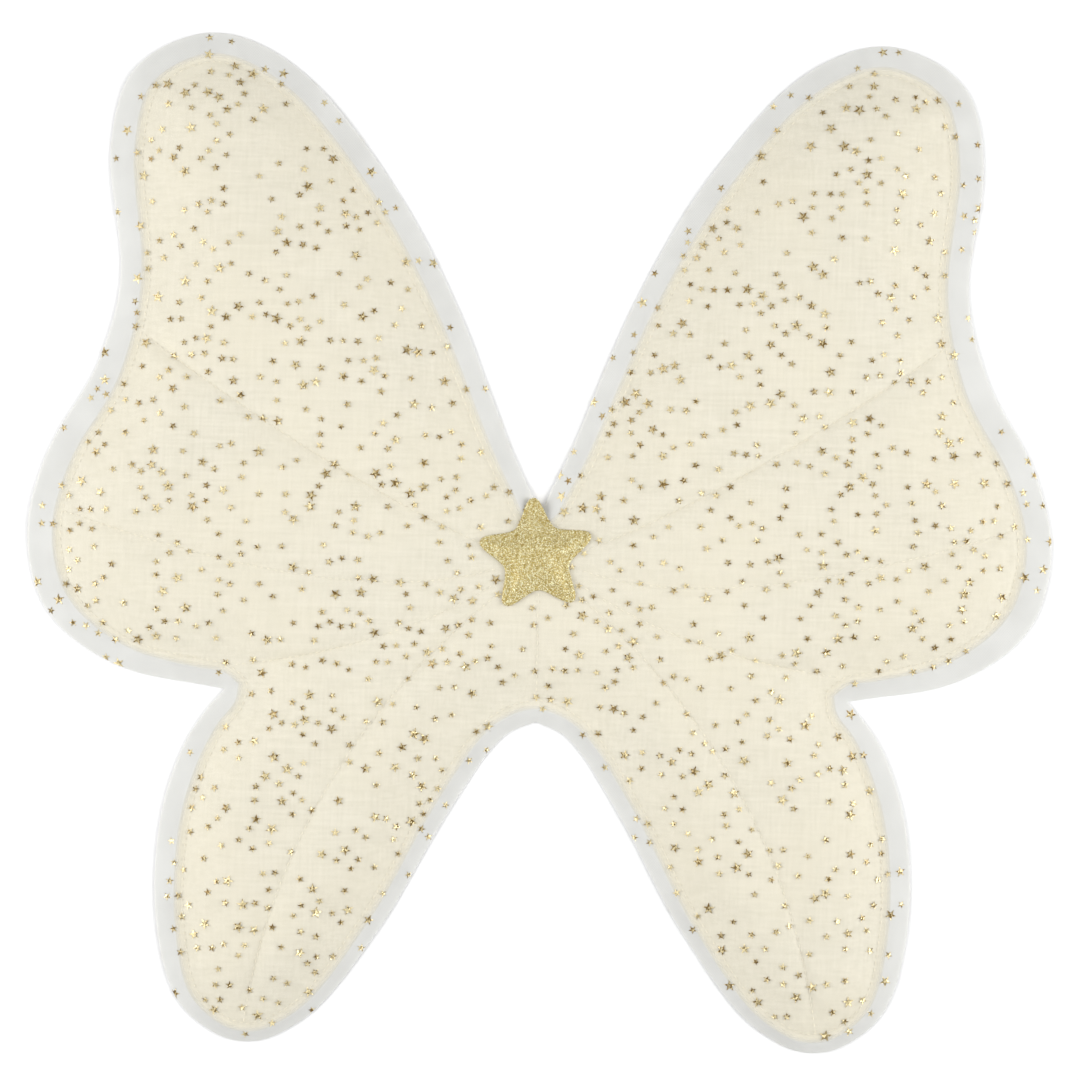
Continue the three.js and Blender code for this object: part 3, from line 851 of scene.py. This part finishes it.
machine = stitch_tree()
stitches = {}
for side, sheet in (("front", front), ("back", back)):
    paths = seam_paths("rows_" + side, sheet)
    stitch = {"Pitch": STITCH_PITCH, "Length": STITCH_LENGTH, "Width": STITCH_WIDTH, "Thread": thread}
    stitches[side] = grown("stitches_" + side, paths, machine, **stitch)
    bpy.data.objects.remove(paths)

# The glitter star, stuffed and sewn on where the seams meet


def flake_tree():
    """Flakes strewn over the upward faces, each one tilted its own way."""
    tree, given = new_tree(
        "glitter_flakes", Size="Float", Density="Float", Tilt="Float", Seed="Int", Film="Material"
    )
    up = add(tree, "ShaderNodeSeparateXYZ", {0: add(tree, "GeometryNodeInputNormal")}).outputs["Z"]
    upward = add(tree, "FunctionNodeCompare", {"A": up, "B": -0.2}, operation="GREATER_THAN")
    spots = {"Mesh": given["Geometry"], "Selection": upward}
    spots.update({"Density": given["Density"], "Seed": given["Seed"]})
    spots = add(tree, "GeometryNodeDistributePointsOnFaces", spots)
    flake = {"Vertices": 5, "Radius": 0.5, "Depth": 0.1}
    flake = add(tree, "GeometryNodeMeshCylinder", flake, fill_type="NGON")
    back_tilt = add(tree, "ShaderNodeMath", {0: given["Tilt"], 1: -1.0}, operation="MULTIPLY")
    angles = {"Z": add(tree, "FunctionNodeRandomValue", {"Max": 2 * math.pi, "Seed": 3}, data_type="FLOAT")}
    for seed, axis in enumerate("XY", start=1):
        tilt = {"Min": back_tilt, "Max": given["Tilt"], "Seed": seed}
        angles[axis] = add(tree, "FunctionNodeRandomValue", tilt, data_type="FLOAT")
    turned = {"Rotation": spots.outputs["Rotation"], "Rotate By": add(tree, "ShaderNodeCombineXYZ", angles)}
    turned = add(tree, "FunctionNodeRotateRotation", turned, rotation_space="LOCAL")
    cut = add(tree, "FunctionNodeRandomValue", {"Min": 0.7, "Max": 1.25, "Seed": 4}, data_type="FLOAT")
    size = add(tree, "ShaderNodeMath", {0: given["Size"], 1: cut}, operation="MULTIPLY")
    placed = {"Points": spots, "Instance": flake, "Rotation": turned, "Scale": size}
    placed = add(tree, "GeometryNodeInstanceOnPoints", placed)
    # tone: spread past both ends so that many flakes come out deep gold or near white, partly painted
    # glints
    tone = add(tree, "FunctionNodeRandomValue", {"Min": -0.8, "Max": 1.8, "Seed": 5}, data_type="FLOAT")
    kept = {"Geometry": placed, "Name": "tone", "Value": tone}
    placed = add(tree, "GeometryNodeStoreNamedAttribute", kept, data_type="FLOAT", domain="INSTANCE")
    end_tree(tree, placed, given["Film"])
    return tree


star_fill = hex_points(star_loop.min(0), star_loop.max(0), STAR_STEP)
star_fill = star_fill[inside(star_fill, star_loop)]
star_fill = star_fill[nearest_on(star_fill, [closed(star_loop)])[0] > STAR_STEP / 2]
star_plan, star_faces = fill_plan([star_loop], [], star_fill, star_loop)
star_gap = nearest_on(star_plan, [closed(star_loop)])[0]
star_rise = STAR_RISE * round_rise((star_gap - STAR_HEM) / STAR_ROUND)
star_rise += STAR_ROLL * np.sin(math.pi * np.clip(star_gap / STAR_HEM, 0, 1))
star_base = seat_level(star_plan) + STAR_CLEAR
star_top = np.column_stack([star_plan, smoothed(star_base + STAR_EDGE + star_rise, star_faces, 1)])
star_top = blown_up(star_top, star_faces, star_gap < STAR_HEM)
star_bottom = np.column_stack([star_plan, star_base])
star_skin = closed_skin(star_top, star_bottom, star_faces, STAR_EDGE_ROUND)
glitter_star = new_piece("stuffed_glitter_star", *star_skin)
flake_sizes = {"Size": FLAKE_SIZE, "Density": FLAKE_DENSITY, "Tilt": FLAKE_TILT, "Film": flakes}
star_flakes = grown("glitter_flakes", glitter_star, flake_tree(), Seed=3, **flake_sizes)

# Elastics behind the wings


def elastic_strap(node, name):
    """A ribbed elastic band in the place of the node's plain one."""
    low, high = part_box(node)
    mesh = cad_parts[node].data
    corners = sorted({tuple(np.round(v.co.xy, 6)) for v in mesh.vertices}, key=lambda p: p[1])
    foot = (np.array(corners[0]) + corners[1]) / 2
    head = (np.array(corners[-1]) + corners[-2]) / 2
    along = (head - foot) / np.linalg.norm(head - foot)
    across = np.array([along[1], -along[0]])
    columns = np.linspace(-STRAP_WIDTH / 2, STRAP_WIDTH / 2, 2 * STRAP_RIBS + 1)
    lengths = np.linspace(0, np.linalg.norm(head - foot), STRAP_STEPS)
    top, bottom = [], []
    for run in lengths:
        for i, reach in enumerate(columns):
            x, y = foot + along * run + across * reach
            rib = STRAP_RIB if i % 2 else 0.0
            top.append((x, y, high.z - STRAP_RIB + rib))
            bottom.append((x, y, low.z + STRAP_RIB - rib))
    wide = len(columns)
    cells = [(r * wide + c, r * wide + c + 1) for r in range(STRAP_STEPS - 1) for c in range(wide - 1)]
    faces = np.array([f for a, b in cells for f in ((a, b, b + wide), (a, b + wide, a + wide))])
    return new_piece(name, *closed_skin(np.array(top), np.array(bottom), faces, STRAP_EDGE_ROUND))


straps = {
    node: elastic_strap(node, "elastic_" + node.split("_")[-1])
    for node in ("shoulder_strap_left", "shoulder_strap_right")
}

# What rides, and what it replaces

for piece, material, slot in (
    (quilted_pad, cotton, "cotton"),
    (tulle_front, tulle, "tulle"),
    (tulle_back, tulle, "tulle"),
    (stars_front, None, "tulle"),
    (stars_back, None, "tulle"),
    (stitches["front"], None, "cotton"),
    (stitches["back"], None, "cotton"),
    (glitter_star, glitter, "glitter"),
    (star_flakes, None, "glitter"),
    (straps["shoulder_strap_left"], elastic, "elastic"),
    (straps["shoulder_strap_right"], elastic, "elastic"),
):
    if material is not None:
        piece.data.materials.append(material)
    if piece not in (stars_front, stars_back, star_flakes):
        piece.data.shade_smooth()
    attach(piece, BODY)
quilted_pad.data.set_sharp_from_angle(angle=CORNER_TURN)
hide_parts("quilted_pad")
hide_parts("tulle_front")
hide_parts("tulle_back")
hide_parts("glitter_star")
for node, strap in straps.items():
    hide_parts(node)

# Floor, light and camera

FLOOR_HALF = 4.0
FLOOR_LEVEL = -0.2 * MM
corners = [(x * FLOOR_HALF, y * FLOOR_HALF, FLOOR_LEVEL) for x, y in ((-1, -1), (1, -1), (1, 1), (-1, 1))]
floor = new_piece("floor", corners, [(0, 1, 2, 3)])
floor.data.materials.append(white_floor())


def soft_box(name, place, size, watts):
    """A soft lamp that faces the wings and that the camera doesn't see."""
    lamp = bpy.data.lights.new(name, "AREA")
    lamp.shape = "RECTANGLE"
    lamp.size, lamp.size_y = size
    lamp.energy = watts
    stand = bpy.data.objects.new(name, lamp)
    stand.location = place
    stand.rotation_euler = (-Vector(place)).to_track_quat("-Z", "Y").to_euler()
    stand.visible_camera = False
    bpy.context.scene.collection.objects.link(stand)
    return stand


LAMP_WATTS = 24.5
LAMP_SIZE = (1.0, 1.0)
LAMP_REACH = 1.6            # each lamp stands this far to its side
LAMP_HEIGHT = 0.85
FILL_WATTS = 1.4
FILL_SIZE = (0.4, 0.4)
FILL_HEIGHT = 0.8
soft_box("left_soft_box", (-LAMP_REACH, 0, LAMP_HEIGHT), LAMP_SIZE, LAMP_WATTS)
soft_box("right_soft_box", (LAMP_REACH, 0, LAMP_HEIGHT), LAMP_SIZE, LAMP_WATTS)
fill_light = soft_box("fill_light", (0, 0, FILL_HEIGHT), FILL_SIZE, FILL_WATTS)
fill_light.visible_glossy = False

# A pale room: bright walls on the lamps' sides, dimmer ones between them, and a dark ceiling
SIDE_WALL = 0.85
END_WALL = 0.35
CEILING = 0.27
world = bpy.data.worlds.new("studio")
world.use_nodes = True
room = world.node_tree
room.nodes.clear()
way = add(room, "ShaderNodeSeparateXYZ", {0: add(room, "ShaderNodeTexCoord").outputs["Generated"]}).outputs
sideways = add(room, "ShaderNodeMath", {0: way["X"]}, operation="ABSOLUTE")
walls = add(room, "ShaderNodeMapRange", {"Value": sideways, "To Min": END_WALL, "To Max": SIDE_WALL})
upward = add(room, "ShaderNodeMapRange", {"Value": way["Z"], "From Min": 0.1, "From Max": 0.8})
level = add(room, "ShaderNodeMix", {"Factor": upward, "A": walls, "B": CEILING})
add(room, "ShaderNodeOutputWorld", {"Surface": add(room, "ShaderNodeBackground", {"Color": level})})
bpy.context.scene.world = world
bpy.context.scene.view_settings.view_transform = "Standard"

# Straight above, turned as the wings lie in the picture, 527 mm across at the border
PICTURE_WIDTH = 0.52704
PICTURE_TURN = math.radians(1.19)
PICTURE_MIDDLE = (0.000285, 0.00136)
lens = bpy.data.cameras.new("camera")
lens.lens = 135
lens.sensor_width = 36
camera = bpy.data.objects.new("camera", lens)
height = EDGE_FRONT + PICTURE_WIDTH * lens.lens / lens.sensor_width
camera.location = (*PICTURE_MIDDLE, height)
camera.rotation_euler = (0, 0, PICTURE_TURN)
bpy.context.scene.collection.objects.link(camera)
bpy.context.scene.camera = camera
